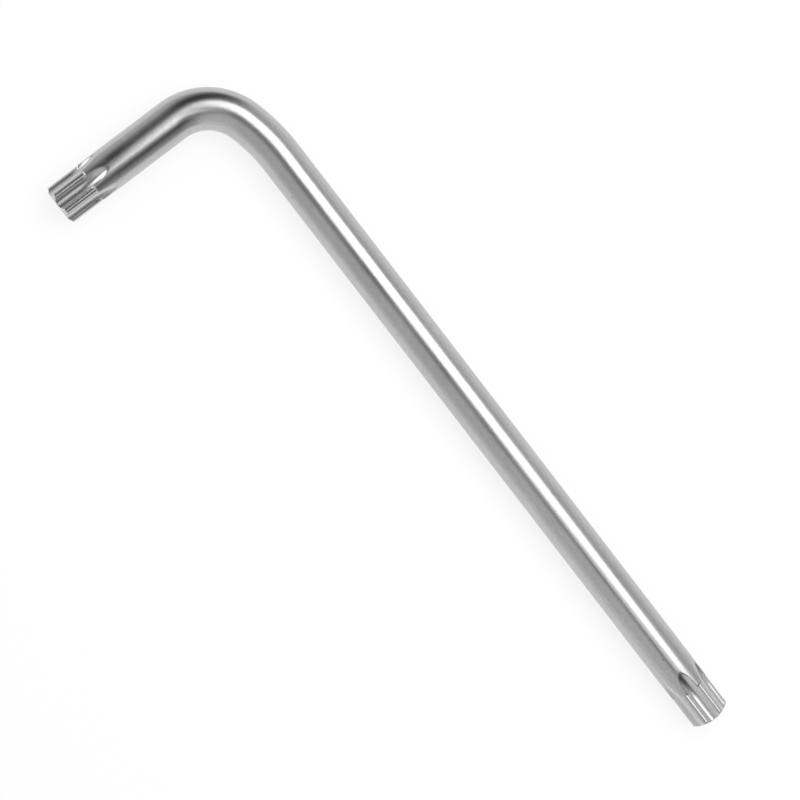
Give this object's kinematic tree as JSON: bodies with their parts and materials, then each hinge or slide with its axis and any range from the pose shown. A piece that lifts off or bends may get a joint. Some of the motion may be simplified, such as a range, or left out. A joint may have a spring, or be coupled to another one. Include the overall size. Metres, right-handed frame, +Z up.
{
  "type": "star key",
  "caption": "L-shaped hand key of round plated steel bar, bent at a right angle, with a fluted six-lobe star tip on each end for turning star-socket screws.",
  "frame": {"origin": "under the middle of the key's box, on the surface that the key lies on", "axes": "+X along the long arm to its star tip, -Y along the short arm to its star tip, +Z up from the surface, square to the flat of the L"},
  "size_m": [0.176, 0.048, 0.0091],
  "materials": {
    "satin_bar": "satin nickel-plated steel, softly blasted, with a faint grain and small pits",
    "bright_tip": "brighter plated steel with fine lines along the flutes"
  },
  "bodies": {
    "root": {"long_arm": "satin_bar", "elbow": "satin_bar", "short_arm": "satin_bar", "long_tip": "bright_tip", "short_tip": "bright_tip"}
  },
  "joints": []
}
